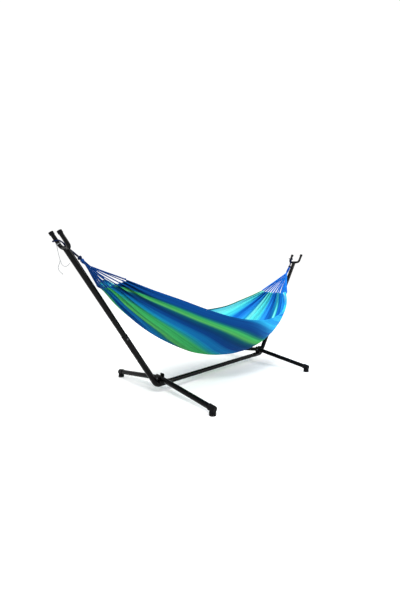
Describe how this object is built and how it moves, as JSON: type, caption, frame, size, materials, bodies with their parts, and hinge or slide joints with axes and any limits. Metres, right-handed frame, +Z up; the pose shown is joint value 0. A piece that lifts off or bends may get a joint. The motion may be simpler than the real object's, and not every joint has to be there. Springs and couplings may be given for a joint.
{
  "type": "hammock with stand",
  "caption": "Striped cloth hammock gathered on string ends, hung between the forks of a bolted steel tube stand with cross legs and capped feet.",
  "frame": {"origin": "on the floor under the middle of the stand, centre of the bounding box's bottom face without the tie cord", "axes": "+X along the hammock towards its lower end, +Y from the front of the stand to its back, +Z up"},
  "size_m": [2.999, 1.1666, 1.1983],
  "materials": {
    "painted_steel": "satin black paint",
    "black_plastic": "moulded black plastic",
    "zinc_steel": "black zinc fasteners",
    "striped_cloth": "woven cotton, lengthwise stripes in navy, blue, turquoise, green and white",
    "blue_cord": "twisted blue cord",
    "white_cord": "thin pale cord"
  },
  "bodies": {
    "stand": {"base_tube": "painted_steel", "lower_arm_left": "painted_steel", "upper_arm_left": "painted_steel", "fork_left": "painted_steel", "saddle_bracket_left": "painted_steel", "cross_leg_left": "painted_steel", "fork_cap_left_front": "black_plastic", "foot_cap_left_front": "black_plastic", "fork_cap_left_back": "black_plastic", "foot_cap_left_back": "black_plastic", "base_bolt_left": "zinc_steel", "base_nut_left": "zinc_steel", "arm_bolt_left": "zinc_steel", "arm_nut_left": "zinc_steel", "saddle_bolt_left": "zinc_steel", "saddle_nut_left": "zinc_steel", "eye_loop_left": "blue_cord", "lower_arm_right": "painted_steel", "upper_arm_right": "painted_steel", "fork_right": "painted_steel", "saddle_bracket_right": "painted_steel", "cross_leg_right": "painted_steel", "fork_cap_right_front": "black_plastic", "foot_cap_right_front": "black_plastic", "fork_cap_right_back": "black_plastic", "foot_cap_right_back": "black_plastic", "base_bolt_right": "zinc_steel", "base_nut_right": "zinc_steel", "arm_bolt_right": "zinc_steel", "arm_nut_right": "zinc_steel", "saddle_bolt_right": "zinc_steel", "saddle_nut_right": "zinc_steel", "eye_loop_right": "blue_cord", "tie_cord_wrap": "white_cord", "tie_cord_tail": "white_cord", "tie_cord_loop": "white_cord", "tie_cord_knot": "white_cord"},
    "hammock": {"hammock_cloth": "striped_cloth", "eye_knot_left": "blue_cord", "whipping_left": "blue_cord", "clew_left": "blue_cord", "eye_knot_right": "blue_cord", "whipping_right": "blue_cord", "clew_right": "blue_cord"}
  },
  "joints": [
    {"name": "swing", "type": "hinge", "parent": "stand", "child": "hammock", "pos_m": [0, 0, 1.04], "axis": [1, 0, 0], "range_deg": [-25, 25]}
  ]
}
